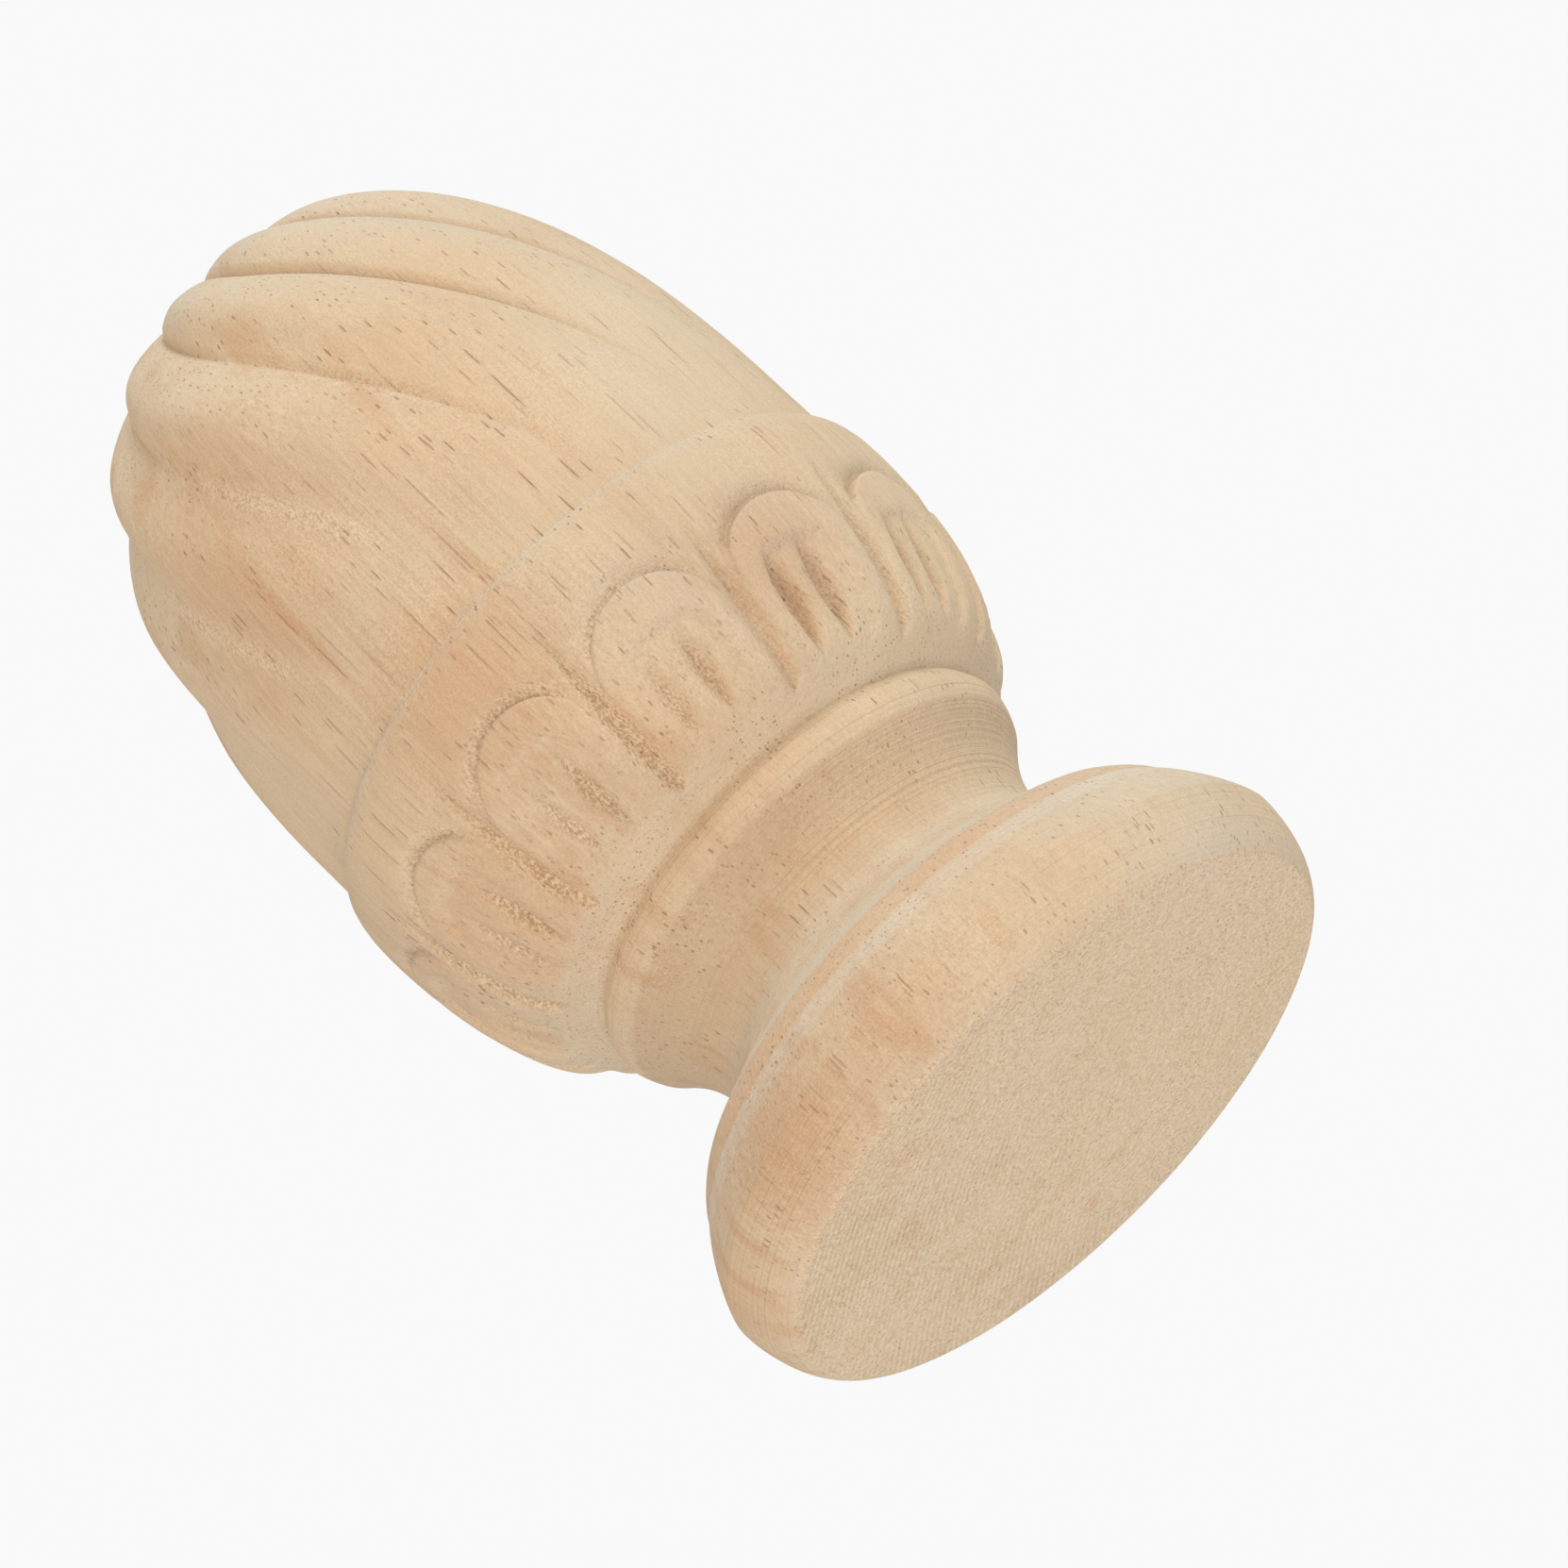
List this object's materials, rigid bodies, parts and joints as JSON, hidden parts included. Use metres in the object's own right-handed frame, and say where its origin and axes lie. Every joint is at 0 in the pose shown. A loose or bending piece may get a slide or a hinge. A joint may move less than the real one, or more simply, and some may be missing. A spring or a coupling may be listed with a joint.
{
  "type": "carved wooden bud finial",
  "caption": "Turned and carved wooden finial: a bun foot, a hollow neck with a collar, a leaf cup and a bud of twisted lobes.",
  "frame": {"origin": "centre of the flat underside of the foot", "axes": "+Z along the turning axis, from the underside to the tip of the bud; -Y is the side that the picture shows"},
  "size_m": [0.08, 0.08, 0.14],
  "materials": {
    "wood": "pale unfinished close-grained hardwood, turned, carved and lightly sanded"
  },
  "bodies": {
    "root": {"finial": "wood"}
  },
  "joints": []
}
